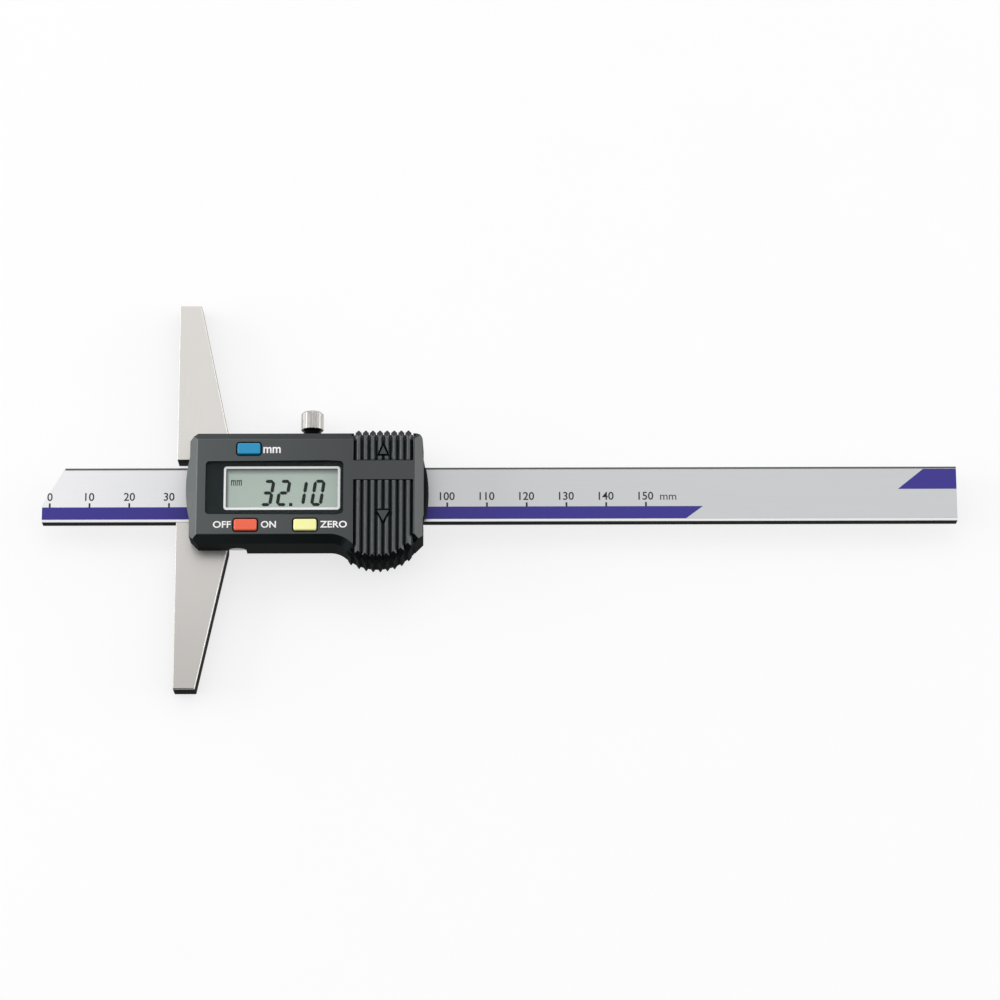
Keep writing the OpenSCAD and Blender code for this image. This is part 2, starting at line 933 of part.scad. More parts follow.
module circuit_board() {
    color([0.15, 0.4, 0.2])
        at_face()
            difference() {
                span([board_start, -board_near, board_z], [board_end, board_far, board_top]);
                for (p = concat(body_screws, board_screws))
                    translate([p.x, p.y, board_z - over])
                        cylinder(h = board_t + 2 * over, d = body_screw_d + 2 * hole_gap);
            }
}

module board_screws() {
    color("silver")
        at_face()
            for (p = board_screws)
                translate([p.x, p.y, board_top - board_screw_l])
                    difference() {
                        union() {
                            cylinder(h = board_screw_l, d = board_screw_d);
                            translate([0, 0, board_screw_l])
                                cylinder(h = board_head_t, d = board_head_d);
                        }
                        span([-board_head_d, -0.2, board_screw_l + board_head_t * 0.5],
                            [board_head_d, 0.2, board_screw_l + board_head_t + over]);
                    }
}

// Potting over the measuring chip
module chip_cover() {
    color([0.08, 0.08, 0.08])
        at_face()
            translate([chip_at.x, chip_at.y, board_top])
                rotate_extrude()
                    polygon([
                        [0, 0],
                        [chip_d / 2, 0],
                        [chip_d / 2 - 0.6, chip_t * 0.7],
                        [chip_d / 4, chip_t],
                        [0, chip_t]
                    ]);
}

module tact_switches() {
    color([0.75, 0.75, 0.72])
        at_face()
            for (b = button_rows)
                translate([b.x + button_l / 2, b.y, board_top]) {
                    translate([-switch_w / 2, -switch_w / 2, 0])
                        cube([switch_w, switch_w, switch_t]);
                    cylinder(h = switch_t + plunger_t, d = plunger_d);
                }
}

module display_glass() {
    color([0.62, 0.68, 0.62])
        at_face()
            span([view_at.x - glass_lap, view_at.y - glass_lap, glass_z],
                [view_at.x + view_l + glass_lap, view_at.y + view_w + glass_lap, glass_z + glass_t]);
}

// Two rubber strips that join the display glass to the board
module display_connectors() {
    near = view_at.y - glass_lap;
    far = view_at.y + view_w + glass_lap - strip_contact_w;
    color([0.85, 0.4, 0.5])
        at_face()
            for (y = [near, far])
                span([view_at.x, y, board_top], [view_at.x + view_l, y + strip_contact_w, glass_z]);
}

module display_window() {
    gap = seat_gap;
    color([0.1, 0.1, 0.11])
        at_face()
            translate([window_at.x + gap, window_at.y + gap, window_z])
                linear_extrude(window_t)
                    round_rect([window_l - 2 * gap, window_w - 2 * gap], window_r - gap);
}

// A button: cap through the face, flange that holds it in, stem over its switch
module button(place) {
    flange_z = ceiling - seat_gap - flange_t;
    at_face()
        translate([place.x, place.y - button_w / 2, 0]) {
            translate([0, 0, flange_z])
                linear_extrude(face_top + button_proud - flange_z)
                    round_rect([button_l, button_w], button_r);
            translate([-flange, -flange, flange_z])
                cube([button_l + 2 * flange, button_w + 2 * flange, flange_t]);
            translate([button_l / 2, button_w / 2, stem_z])
                cylinder(h = flange_z - stem_z + 0.1, d = stem_d);
        }
}

module mode_button() {
    color([0.1, 0.4, 0.7])
        button(button_rows[0]);
}

module power_button() {
    color([0.9, 0.2, 0.22])
        button(button_rows[1]);
}

module zero_button() {
    color([0.93, 0.9, 0.5])
        button(button_rows[2]);
}

// Button cell, its smaller terminal down
module battery() {
    step = 0.5;
    color([0.8, 0.8, 0.8])
        at_face()
            translate([cell_at.x, cell_at.y, cell_z])
                rotate_extrude()
                    polygon([
                        [0, 0],
                        [cell_d / 2 - 1.2, 0],
                        [cell_d / 2 - 1.2, step],
                        [cell_d / 2, step],
                        [cell_d / 2, cell_t - 0.3],
                        [cell_d / 2 - 0.3, cell_t],
                        [0, cell_t]
                    ]);
}

// Side contact of the battery, standing on the board
module battery_clip() {
    leaf_x = cell_at.x - cell_d / 2 - clip_gap - contact_t;
    y0 = cell_at.y - clip_w / 2;
    color([0.85, 0.75, 0.45])
        at_face() {
            span([leaf_x, y0, board_top], [leaf_x + contact_t, y0 + clip_w, floor_z - 0.3]);
            span([leaf_x - clip_foot, y0, board_top], [leaf_x, y0 + clip_w, board_top + contact_t]);
        }
}

// Bent strip under the battery
module battery_spring() {
    rise = spring_lift - contact_t;
    half = spring_l / 2;
    color([0.85, 0.75, 0.45])
        at_face()
            translate([cell_at.x, cell_at.y + 1.5, board_top])
                bar_y(-spring_w / 2, spring_w / 2)
                    polygon([
                        [-half, 0],
                        [-half * 0.6, 0],
                        [-half * 0.2, rise],
                        [half * 0.4, rise],
                        [half, 0.1],
                        [half, 0.1 + contact_t],
                        [half * 0.4, spring_lift],
                        [-half * 0.2, spring_lift],
                        [-half * 0.6, contact_t],
                        [-half, contact_t]
                    ]);
}

// Part of a cover that lies in the face, with a rail along each side
module cover_plate(y0, y1) {
    span([cover_x, y0, cover_z], [cover_x + cover_l, y1, cover_top]);
}

module cover_rails(y0, y1) {
    span([cover_x - rail, y0, cover_z], [cover_x + cover_l + rail, y1, cover_z + rail_t]);
}

// Cover over the battery: flat in the face, and wrapped round the grip bulge
module battery_cover() {
    slope_r = bulge_r - (cover_top - face_top + bevel);
    rail_end = -near_face + bevel;
    color(casing)
        at_face()
            union() {
                intersection() {
                    union() {
                        cover_plate(-2 * near_face, cover_near_y);
                        difference() {
                            span([cover_x, -2 * near_face, bulge_floor + cover_gap],
                                [cover_x + cover_l, -near_face + wall, cover_top]);
                            translate([bulge_at.x, bulge_at.y, 0])
                                cylinder(h = cover_z, r = bulge_r - skirt_t);
                        }
                    }
                    union() {
                        translate([bulge_at.x, bulge_at.y, 0])
                            cylinder(h = face_top - bevel, r = bulge_r);
                        translate([bulge_at.x, bulge_at.y, face_top - bevel])
                            cylinder(h = cover_top - face_top + bevel, r1 = bulge_r, r2 = slope_r);
                        span([cover_x, bulge_at.y, 0], [cover_x + cover_l, cover_near_y, face_top]);
                    }
                }
                cover_rails(rail_end, cover_near_y);
                slide_mark([cover_mid, -6.5], [3, 2.8], -1)
                    for (i = [0 : rib_count - 1])
                        let (x = rib_first + i * rib_pitch)
                            grip_rib(x, cover_near_y, bulge_y(x), bulge_floor + cover_gap, -1);
            }
}

// Cover over the data contacts: flat in the face, and turned down over the far wall
module port_cover() {
    color(casing)
        at_face()
            union() {
                intersection() {
                    union() {
                        cover_plate(cover_far_y, port_side);
                        span([cover_x, port_side - skirt_t, port_skirt_z],
                            [cover_x + cover_l, port_side, cover_top]);
                    }
                    bar_x(cover_x, cover_x + cover_l)
                        polygon([
                            [cover_far_y, port_skirt_z],
                            [port_side, port_skirt_z],
                            [port_side, cover_top - bevel],
                            [port_side - bevel, cover_top],
                            [cover_far_y, cover_top]
                        ]);
                }
                cover_rails(cover_far_y, port_side - bevel);
                slide_mark([cover_mid, 8], [2, 2.2], 1)
                    for (i = [0 : rib_count - 1])
                        grip_rib(rib_first + i * rib_pitch, cover_far_y, port_side, port_skirt_z, 1);
            }
}

module port_contacts() {
    color([0.85, 0.7, 0.35])
        at_face()
            for (i = [0 : pin_count - 1])
                translate([pin_x + i * pin_pitch - pin_w / 2, pin_y - pin_t / 2, board_top])
                    cube([pin_w, pin_t, floor_z - board_top + 0.7]);
}

beam();
scale_circuit();
scale_label();
stop_screw();
base();
base_screws();
slide_frame();
gib();
gib_screws();
lock_screw();
housing();
housing_screws();
circuit_board();
board_screws();
chip_cover();
tact_switches();
display_glass();
display_connectors();
display_window();
mode_button();
power_button();
zero_button();
battery();
battery_clip();
battery_spring();
battery_cover();
port_cover();
port_contacts();
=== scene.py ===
"""Looks of the digital depth gauge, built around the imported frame."""

import json
import math

import bmesh
import bpy
from mathutils import Matrix, Vector

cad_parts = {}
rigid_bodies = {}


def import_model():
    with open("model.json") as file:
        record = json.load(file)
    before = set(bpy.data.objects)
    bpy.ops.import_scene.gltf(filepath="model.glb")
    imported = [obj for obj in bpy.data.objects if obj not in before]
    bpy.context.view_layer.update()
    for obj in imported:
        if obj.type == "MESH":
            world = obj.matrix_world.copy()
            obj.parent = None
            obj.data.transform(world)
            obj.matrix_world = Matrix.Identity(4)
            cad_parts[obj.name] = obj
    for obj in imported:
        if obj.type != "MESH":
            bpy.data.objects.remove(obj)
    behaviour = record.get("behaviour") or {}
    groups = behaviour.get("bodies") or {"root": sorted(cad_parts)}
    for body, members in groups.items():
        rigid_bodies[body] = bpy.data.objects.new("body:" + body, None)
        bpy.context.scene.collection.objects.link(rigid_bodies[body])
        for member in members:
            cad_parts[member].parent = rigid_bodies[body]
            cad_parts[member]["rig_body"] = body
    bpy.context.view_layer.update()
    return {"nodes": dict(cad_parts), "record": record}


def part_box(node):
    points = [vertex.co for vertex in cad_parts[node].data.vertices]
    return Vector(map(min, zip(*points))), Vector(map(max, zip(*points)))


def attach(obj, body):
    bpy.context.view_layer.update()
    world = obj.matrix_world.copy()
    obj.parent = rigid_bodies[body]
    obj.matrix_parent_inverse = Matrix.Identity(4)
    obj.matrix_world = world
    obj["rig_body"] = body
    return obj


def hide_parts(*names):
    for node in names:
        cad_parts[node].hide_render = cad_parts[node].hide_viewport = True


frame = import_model()

MM = 0.001

# Planes of the frame that the added pieces lie on, in metres
FACE_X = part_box("base")[0].x
LABEL_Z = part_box("scale_label")[1].z
DISPLAY_FACE_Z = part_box("housing")[1].z
WINDOW_LOW_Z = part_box("display_window")[0].z
GLASS_TOP_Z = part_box("display_glass")[1].z

# Distance under which the corners of a node's loose triangles are merged, and the angle under
# which neighbouring faces become one
MERGE_DISTANCE = 0.0005 * MM
FLAT_ANGLE = math.radians(0.5)

# Nodes that get rounded edges: the width of the rounding, the shortest edge that gets it and the
# height that both its ends lie above, in millimetres, and whether tight places limit the width
ROUNDED_NODES = {
    "housing": (0.2, 2.0, 13.8, False),
    "battery_cover": (0.08, 3.0, 14.9, True),
    "port_cover": (0.1, 1.5, 5.0, True),
    "base": (0.16, 2.0, -1.0, True),
    "beam": (0.07, 2.0, -1.0, True),
    "mode_button": (0.35, 0.0, 15.4, False),
    "power_button": (0.35, 0.0, 15.4, False),
    "zero_button": (0.35, 0.0, 15.4, False),
    "display_window": (0.12, 0.0, 14.8, False),
}

# Edges sharper than this are rounded where they are chosen, and stay crisp where they aren't
CRISP_ANGLE = math.radians(32)

# Segments across a rounding, and how strongly large faces keep their own normals beside it
ROUND_SEGMENTS = 3
FACE_WEIGHT = 100

# Thickness of a print and its lift off the surface that carries it
PRINT_T = 0.012 * MM
PRINT_LIFT = 0.004 * MM

# Depth of the ground lines in steel and film, and of the grain in moulded plastic
GRIND_DEPTH = 0.004 * MM
MOULD_DEPTH = 0.008 * MM

# Printed scale on the film, in millimetres from the measuring face
SCALE_ZERO_X = -31.88
SCALE_STEP = 10
SCALE_LAST = 150
TICK_Y = (-3.16, -2.1)
TICK_W = 0.46
NUMBER_Y = -1.5
NUMBER_H = 2.1
NUMBER_WEIGHT = 0.011

# Unit after the last number: its distance, and its height as a part of a number's
SCALE_UNIT_GAP = 3.6
SCALE_UNIT_PART = 0.62

# Dark line along the beam's far edge, a painted shade of that edge: its place across the rail, and where
# it starts behind the tip
EDGE_SHADE_Y = (6.5, 6.98)
EDGE_SHADE_START = 5.6

# Painted shadow at the head's end over the film, as a dark strip: half its width, its depth beyond the
# head, the steps of its curve and its heights
SHADOW_STRIP_HALF_W = 6.35
SHADOW_STRIP_DEPTH = 0.36
SHADOW_STRIP_STEPS = 8
SHADOW_STRIP_Z = (5.93 * MM, 7.0 * MM)

# Curve of the head's end: its furthest point and its radius
HEAD_END_X = 63.1
HEAD_END_R = 32.5

# Blue stripe along the film and blue block at its end
STRIPE_Y = (-6.35, -3.16)
STRIPE_END_X = (128.14, 132.46)
BLOCK_X = (181.64, 188.07)
BLOCK_Y = 1.19

# White line printed round the display: its outer and inner corners as low and high, and radii
WINDOW_FRAME = ((12.4, -5.97), (41.48, 5.25))
WINDOW_VIEW = ((12.95, -5.37), (40.86, 4.65))
WINDOW_FRAME_R = 0.75
WINDOW_VIEW_R = 0.35

# Black border round that line: how far it stays inside the lens, and its outer radius
WINDOW_MASK_INSET = 0.06
WINDOW_MASK_R = 0.95

# Steps of each round corner of a printed outline
CORNER_STEPS = 6

# Lettering on the display face: text, left end, right end, base line, height
FACE_TEXTS = (
    ("mm", "mm", 22.25, 26.6, 8.35, 1.6),
    ("off", "OFF", 9.95, 14.45, -10.95, 1.75),
    ("on", "ON", 21.9, 25.65, -10.95, 1.75),
    ("zero", "ZERO", 36.6, 43.3, -10.95, 1.75),
)

# Added weight of the lettering as a part of its size, and the steps of its curves
LETTER_WEIGHT = 0.018
LETTER_STEPS = 4

# Shade on the display under the far and left edges of its frame: depth from the edge
SHADE_Y = (3.1, 4.62)
SHADE_X = (13.0, 13.8)
SHADE_TONE = 0.22

# Reading on the display: left end of each figure on the base line, in millimetres
DIGIT_Y = (-4.55, 1.45)
DIGIT_W = 2.15
DIGIT_SLANT = 0.155
DIGIT_STROKE = 0.84
DIGIT_GAP = 0.05
DIGIT_CELLS = (("3", 21.8), ("2", 25.8), ("1", 30.0), ("0", 34.4))
POINT_X = 28.75

# Unit mark on the display: its left end, base line, height, width and added weight
UNIT_MARK = (14.2, 0.35, 1.5, 2.7, 0.01)

# Segments of each figure, and where each segment runs in its cell, as parts across and up
SEGMENTS = {"0": "abcdef", "1": "bc", "2": "abged", "3": "abgcd"}
SEGMENT_ENDS = {
    "a": ((0, 1), (1, 1)), "b": ((1, 1), (1, 0.5)), "c": ((1, 0.5), (1, 0)),
    "d": ((0, 0), (1, 0)), "e": ((0, 0.5), (0, 0)), "f": ((0, 1), (0, 0.5)),
    "g": ((0, 0.5), (1, 0.5)),
}

# Camera of the photograph: fitted to the gauge's own corners
PHOTO_SIDE = 1000
FOCAL_PX = 3795.03
SENSOR = 36
AIM = Vector((0.103, 0.098, 0)) * MM
CAMERA_DISTANCE = 961.16 * MM
CAMERA_ELEVATION = math.radians(74.928)
CAMERA_AZIMUTH = math.radians(-0.029)
CAMERA_ROLL = math.radians(-0.104)
CAMERA_CLIP = 0.01

# Dark tone painted on the steel's side faces: painted shade and painted dark reflection
PAINTED_SIDE_SHADE = (0.17, 0.17, 0.175, 1.0)

# Upward part of a normal below which a face starts to be a wall, and above which it isn't one
WALL_TILT = (0.1, 0.5)

# Upward part of a level face's normal, and sideways part of a long bevel's: start and full
LEVEL_TILT = (0.85, 0.95)
BEVEL_TILT = (0.45, 0.65)

# Where the casing ends its slow change of tone from the left, a painted light, and where the film's
# painted light starts and ends
CASING_LIGHT_FADE_X = 45
FILM_LIGHT_FADE_X = (-30, 80)

# Scales of the slow clouds in plastic and in steel, and of the fine grain of moulded plastic
PLASTIC_CLOUD = 90.0
STEEL_CLOUD = 60.0
MOULD_GRAIN = 9000.0

# Height over which recesses in the casing turn darker as painted shade, down from the display face
RECESS_SHADE_DEPTH = (0.28 * MM, 0.1 * MM)

# How far the long bevels of the casing lose their gloss and take painted shade, near and far
NEAR_SHADE_AND_DULLNESS = 0.9
FAR_SHADE_AND_DULLNESS = 0.62

# Foot of the end bevel over the beam, matt and painted dark as a painted shadow: where it starts and is
# full
END_FOOT_SHADOW_X = (62.25, 62.4)

# Where the knob's head begins behind its neck, which is painted dark as painted shade under the head
KNOB_START_Y = 17.3 * MM

# Softboxes over the middle of the floor: name, place, size and watts
SOFTBOXES = (
    ("back_softbox", (0.0, 1.0, 1.0), (1.2, 0.5), 1.6),
    ("left_softbox", (-1.0, 0.15, 0.28), (0.8, 0.35), 5.0),
    ("right_softbox", (1.0, 0.15, 0.28), (0.8, 0.35), 2.6),
)

# Dome as (direction along Y, strength) at its dim and its bright end
DOME_FRONT = (-0.85, 0.04)
DOME_BACK = (-0.05, 0.98)

# Half the floor's side, and the share of its white that doesn't depend on the lamps
FLOOR_REACH = 4.0
FLOOR_GLOW = 0.7

WHITE = (1.0, 1.0, 1.0, 1.0)


def at(x, y, z=0.0):
    """A point given in millimetres from the measuring face, as metres in the frame."""
    return Vector((FACE_X + x * MM, y * MM, z))


class Value:
    """An output socket of a shader, with operators that add Math nodes."""

    def __init__(self, shader, socket):
        self.shader = shader
        self.socket = socket

    def math(self, operation, *inputs):
        return self.shader.node("ShaderNodeMath", {"operation": operation}, list(inputs))

    def __add__(self, other):
        return self.math("ADD", self, other)

    def __radd__(self, other):
        return self.math("ADD", other, self)

    def __sub__(self, other):
        return self.math("SUBTRACT", self, other)

    def __rsub__(self, other):
        return self.math("SUBTRACT", other, self)

    def __mul__(self, other):
        return self.math("MULTIPLY", self, other)

    def __rmul__(self, other):
        return self.math("MULTIPLY", other, self)

    def most(self, other):
        return self.math("MAXIMUM", self, other)

    def least(self, other):
        return self.math("MINIMUM", self, other)


class Shader:
    """The nodes of a material or of the world, filled in by plain calls."""

    def __init__(self, owner, surface):
        owner.use_nodes = True
        self.owner = owner
        self.tree = owner.node_tree
        self.surface = self.tree.nodes[surface]

    @classmethod
    def of_material(cls, name):
        return cls(bpy.data.materials.new(name), "Principled BSDF")

    def node(self, kind, settings=None, inputs=None, output=0):
        """Adds a node: its settings first, then the values or links of its sockets."""
        made = self.tree.nodes.new(kind)
        for key, value in (settings or {}).items():
            setattr(made, key, value)
        pairs = enumerate(inputs) if isinstance(inputs, list) else (inputs or {}).items()
        for key, value in pairs:
            self.plug(made.inputs[key], value)
        return Value(self, made.outputs[output])

    def plug(self, socket, value):
        if isinstance(value, Value):
            self.tree.links.new(value.socket, socket)
        else:
            socket.default_value = value

    def set(self, **sockets):
        for key, value in sockets.items():
            self.plug(self.surface.inputs[key.replace("_", " ")], value)

    def place(self):
        return self.node("ShaderNodeTexCoord", output="Object")

    def stretched(self, scale):
        return self.node("ShaderNodeMapping", {}, {"Vector": self.place(), "Scale": scale})

    def noise(self, vector, scale, detail=3.0, roughness=0.5):
        inputs = {"Vector": vector, "Scale": scale, "Detail": detail, "Roughness": roughness}
        return self.node("ShaderNodeTexNoise", {}, inputs, "Fac")

    def between(self, factor, low, high):
        """Maps a 0 to 1 factor on a range of numbers."""
        return self.node("ShaderNodeMapRange", {}, {"Value": factor, "To Min": low, "To Max": high})

    def blend(self, factor, first, second):
        """Mixes two colours; a Mix node has its colours in sockets 6 and 7 and its result in 2."""
        return self.node("ShaderNodeMix", {"data_type": "RGBA"}, {0: factor, 6: first, 7: second}, 2)

    def scaled(self, color, factor):
        """A linked colour times a number."""
        inputs = {"Vector": color, "Scale": factor}
        return self.node("ShaderNodeVectorMath", {"operation": "SCALE"}, inputs)

    def ramp(self, value, start, end):
        """0 to 1 while a value goes from start to end."""
        return self.node("ShaderNodeMapRange", {}, {"Value": value, "From Min": start, "From Max": end})

    def along(self, axis, start, end):
        """0 to 1 between two places on an axis of the frame, in metres."""
        return self.ramp(self.node("ShaderNodeSeparateXYZ", {}, [self.place()], axis), start, end)

    def facing(self, axis):
        """1 on a face that looks along an axis of the frame, 0 across it and -1 against it."""
        normal = self.node("ShaderNodeNewGeometry", output="True Normal")
        return self.node("ShaderNodeSeparateXYZ", {}, [normal], axis)

    def wall(self):
        """1 on upright faces, 0 on faces that look up or down."""
        tilt = self.facing("Z")
        return 1 - self.ramp(tilt.most(0 - tilt), *WALL_TILT)

    def mix_surface(self, factor, sockets):
        """Adds a second Principled surface, which the factor brings in."""
        second = self.node("ShaderNodeBsdfPrincipled", {}, sockets)
        first = Value(self, self.surface.outputs[0])
        mixed = self.node("ShaderNodeMixShader", {}, [factor, first, second])
        self.plug(self.tree.nodes["Material Output"].inputs["Surface"], mixed)

    def bump(self, height, strength, distance):
        inputs = {"Height": height, "Strength": strength, "Distance": distance}
        return self.node("ShaderNodeBump", {}, inputs, "Normal")


def srgb(red, green, blue):
    """A colour given as the 0 to 255 values of a picture, made linear."""
    def linear(level):
        level = level / 255
        return level / 12.92 if level <= 0.04045 else ((level + 0.055) / 1.055) ** 2.4
    return (linear(red), linear(green), linear(blue), 1.0)


def shade(color, factor):
    return tuple(channel * factor for channel in color[:3]) + (1.0,)


def make_camera():
    data = bpy.data.cameras.new("camera")
    data.sensor_width = SENSOR
    data.lens = FOCAL_PX * SENSOR / PHOTO_SIDE
    data.clip_start = CAMERA_CLIP
    camera = bpy.data.objects.new("camera", data)
    bpy.context.scene.collection.objects.link(camera)
    level = math.cos(CAMERA_ELEVATION)
    back = Vector((
        math.sin(CAMERA_AZIMUTH) * level,
        -math.cos(CAMERA_AZIMUTH) * level,
        math.sin(CAMERA_ELEVATION),
    ))
    right = Vector((0, 0, 1)).cross(back).normalized()
    up = back.cross(right)
    turned_right = right * math.cos(CAMERA_ROLL) + up * math.sin(CAMERA_ROLL)
    turned_up = up * math.cos(CAMERA_ROLL) - right * math.sin(CAMERA_ROLL)
    axes = Matrix((turned_right, turned_up, back)).transposed().to_4x4()
    camera.matrix_world = Matrix.Translation(AIM + back * CAMERA_DISTANCE) @ axes
    bpy.context.scene.camera = camera


def make_light(name, place, size, watts):
    """A rectangular softbox that looks at the middle of the floor."""
    data = bpy.data.lights.new(name, "AREA")
    data.shape = "RECTANGLE"
    data.size, data.size_y = size
    data.energy = watts
    light = bpy.data.objects.new(name, data)
    bpy.context.scene.collection.objects.link(light)
    light.location = place
    light.rotation_euler = (-Vector(place)).to_track_quat("-Z", "Y").to_euler()


def white_floor():
    """White paper that keeps its shadows and shows white to the camera, to metal and to glass."""
    paper = Shader.of_material("paper_floor")
    grain = paper.noise(paper.place(), 40.0)
    paper.set(
        Base_Color=paper.blend(grain, srgb(249, 249, 249), srgb(252, 252, 252)),
        Roughness=0.9,
        Specular_IOR_Level=0.1,
    )
    camera, glossy, glass = [
        paper.node("ShaderNodeLightPath", output=ray)
        for ray in ("Is Camera Ray", "Is Glossy Ray", "Is Transmission Ray")
    ]
    seen = camera.most(glossy.most(glass))
    white = paper.node("ShaderNodeEmission", {}, {"Color": WHITE, "Strength": 1.0})
    lit = Value(paper, paper.surface.outputs[0])
    mixed = paper.node("ShaderNodeMixShader", {}, [seen * FLOOR_GLOW, lit, white])
    paper.plug(paper.tree.nodes["Material Output"].inputs["Surface"], mixed)
    return paper.owner


def make_studio():
    """Pale floor, three softboxes, and a dome that is dim on the viewer's side."""
    bpy.context.scene.view_settings.view_transform = "Standard"
    mesh = bpy.data.meshes.new("floor")
    floor = bpy.data.objects.new("floor", mesh)
    bpy.context.scene.collection.objects.link(floor)
    body = bmesh.new()
    bmesh.ops.create_grid(body, x_segments=1, y_segments=1, size=FLOOR_REACH)
    body.to_mesh(mesh)
    body.free()
    mesh.materials.append(white_floor())

    for name, place, size, watts in SOFTBOXES:
        make_light(name, place, size, watts)
    make_dome()


def make_dome():
    """World light: bright above and behind the gauge, dim on the viewer's side."""
    dome = Shader(bpy.data.worlds.new("studio_dome"), "Background")
    bpy.context.scene.world = dome.owner
    direction = dome.node("ShaderNodeTexCoord", output="Generated")
    strength = dome.node("ShaderNodeMapRange", {"interpolation_type": "SMOOTHSTEP"}, {
        "Value": dome.node("ShaderNodeSeparateXYZ", {}, [direction], "Y"),
        "From Min": DOME_FRONT[0],
        "From Max": DOME_BACK[0],
        "To Min": DOME_FRONT[1],
        "To Max": DOME_BACK[1],
    })
    dome.set(Color=WHITE, Strength=strength)


def steel(name, color, grain_scale, rough=(0.26, 0.4), shade_fade=None, shade_walls=False):
    """Ground or milled steel: fine lines along one axis, a slow change of tone, soft gloss.

    fade is the axis, the two places on it and the colour at the first, a painted shade along that axis;
    sides makes the walls dark as painted shade and painted dark reflection.
    """
    shader = Shader.of_material(name)
    lines = shader.noise(shader.stretched(grain_scale), 1.0, 4.0, 0.6)
    cloud = shader.noise(shader.place(), STEEL_CLOUD, 2.0)
    tone = shader.between(lines * 0.55 + cloud * 0.45, 0.0, 1.0)
    ground = color
    # Painted shade: the colour at the first place blends into the steel's own along the axis
    if shade_fade:
        axis, first, last, color_first = shade_fade
        ground = shader.blend(shader.along(axis, first, last), color_first, color)
        worn = shader.scaled(ground, 0.9)
    else:
        worn = shade(color, 0.9)
    brushed = shader.bump(lines, 0.12, GRIND_DEPTH)
    shader.set(
        Base_Color=shader.blend(tone, worn, ground),
        Metallic=1.0,
        Roughness=shader.between(lines, rough[0], rough[1]),
        Normal=brushed,
    )
    # Painted shade: upright faces get a dark steel in place of the shade and dark reflections they fall in
    if shade_walls:
        shader.mix_surface(shader.wall(), {
            "Base Color": shader.blend(lines, shade(PAINTED_SIDE_SHADE, 0.8), PAINTED_SIDE_SHADE),
            "Metallic": 1.0,
            "Specular Tint": (0.0, 0.0, 0.0, 1.0),
            "Roughness": shader.between(lines, 0.3, 0.4),
            "Normal": brushed,
        })
    return shader.owner


def moulded_casing(name, left, right):
    """Housing plastic: satin faces lighter at the left end as painted light, and matt walls, recesses,
    long bevels and end foot darkened as painted shade.
    """
    shader = Shader.of_material(name)
    fine = shader.noise(shader.place(), MOULD_GRAIN, 2.0)
    slow = shader.noise(shader.place(), PLASTIC_CLOUD, 2.0)
    # Painted light: the casing is lighter at its left end and darker towards the right
    color = shader.blend(shader.along("X", FACE_X, FACE_X + CASING_LIGHT_FADE_X * MM), left, right)
    tone = shader.blend(slow * 0.6 + fine * 0.4, color, shader.scaled(color, 1.2))
    grain = shader.bump(fine, 0.3, MOULD_DEPTH)
    shader.set(
        Base_Color=tone,
        Roughness=shader.between(fine, 0.27, 0.34),
        Specular_IOR_Level=0.85,
        Normal=grain,
    )
    # Painted shade: walls, recesses, the long bevels and the end foot get a matt surface at half the
    # colour or darker
    deep, shallow = (DISPLAY_FACE_Z - depth for depth in RECESS_SHADE_DEPTH)
    recess = (1 - shader.along("Z", deep, shallow)) * shader.ramp(shader.facing("Z"), *LEVEL_TILT)
    near = shader.ramp(shader.facing("Y"), -BEVEL_TILT[0], -BEVEL_TILT[1]) * NEAR_SHADE_AND_DULLNESS
    far = shader.ramp(shader.facing("Y"), *BEVEL_TILT) * FAR_SHADE_AND_DULLNESS
    foot = shader.along("X", FACE_X + END_FOOT_SHADOW_X[0] * MM, FACE_X + END_FOOT_SHADOW_X[1] * MM)
    shader.mix_surface(shader.wall().most(recess).most(near).most(far).most(foot), {
        "Base Color": shader.scaled(tone, 0.5 - near * 0.25),
        "Roughness": shader.between(fine, 0.8, 0.95),
        "Specular IOR Level": 0.08,
        "Normal": grain,
    })
    return shader.owner


def moulded(name, color, rough=(0.38, 0.5), grain=MOULD_GRAIN, strength=0.25, level=0.5, lift=1.25):
    """Moulded plastic with a fine spark-eroded grain."""
    shader = Shader.of_material(name)
    fine = shader.noise(shader.place(), grain, 2.0)
    slow = shader.noise(shader.place(), PLASTIC_CLOUD, 2.0)
    shader.set(
        Base_Color=shader.blend(slow * 0.6 + fine * 0.4, color, shade(color, lift)),
        Roughness=shader.between(fine, rough[0], rough[1]),
        Specular_IOR_Level=level,
        Normal=shader.bump(fine, strength, MOULD_DEPTH),
    )
    return shader.owner


def silver_film(name, near_tip, far_end):
    """Satin silver film, lighter at the tip and darker towards the other end as painted light."""
    shader = Shader.of_material(name)
    fine = shader.noise(shader.stretched((60, 2500, 2500)), 1.0, 3.0)
    # Painted light: the film's tone falls from the tip to the other end
    start, end = (FACE_X + place * MM for place in FILM_LIGHT_FADE_X)
    tone = shader.blend(shader.along("X", start, end), near_tip, far_end)
    shader.set(
        Base_Color=shader.blend(fine, shader.scaled(tone, 0.95), tone),
        Metallic=0.55,
        Roughness=shader.between(fine, 0.4, 0.5),
        Normal=shader.bump(fine, 0.06, GRIND_DEPTH),
    )
    return shader.owner


